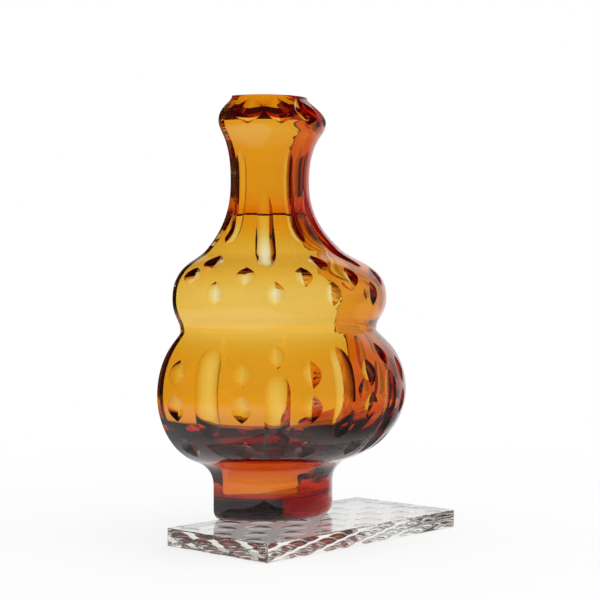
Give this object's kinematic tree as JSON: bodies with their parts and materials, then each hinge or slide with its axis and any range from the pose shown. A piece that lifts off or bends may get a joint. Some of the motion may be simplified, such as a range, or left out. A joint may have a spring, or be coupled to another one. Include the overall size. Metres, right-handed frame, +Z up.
{
  "type": "wall vase",
  "caption": "Half-round cut-glass vase with two bulbs, a fluted neck and a flat back, standing on a rectangular clear glass plate.",
  "frame": {"origin": "middle of the footprint's bounding box, on the surface that the plate's underside rests on", "axes": "+Z up the vase, +Y towards the wall behind the flat back, +X to the right along the wall for a viewer who faces the round front"},
  "size_m": [0.2088, 0.1042, 0.3152],
  "materials": {
    "amber_glass": "polished amber glass with wheel-cut flutes and mitre cuts",
    "clear_pane": "thin flat pane of clear polished glass",
    "clear_glass": "clear polished glass, underside ground with lens cuts"
  },
  "bodies": {
    "root": {"half_vase_shell": "amber_glass", "back_pane": "clear_pane", "base_plate": "clear_glass"}
  },
  "joints": []
}
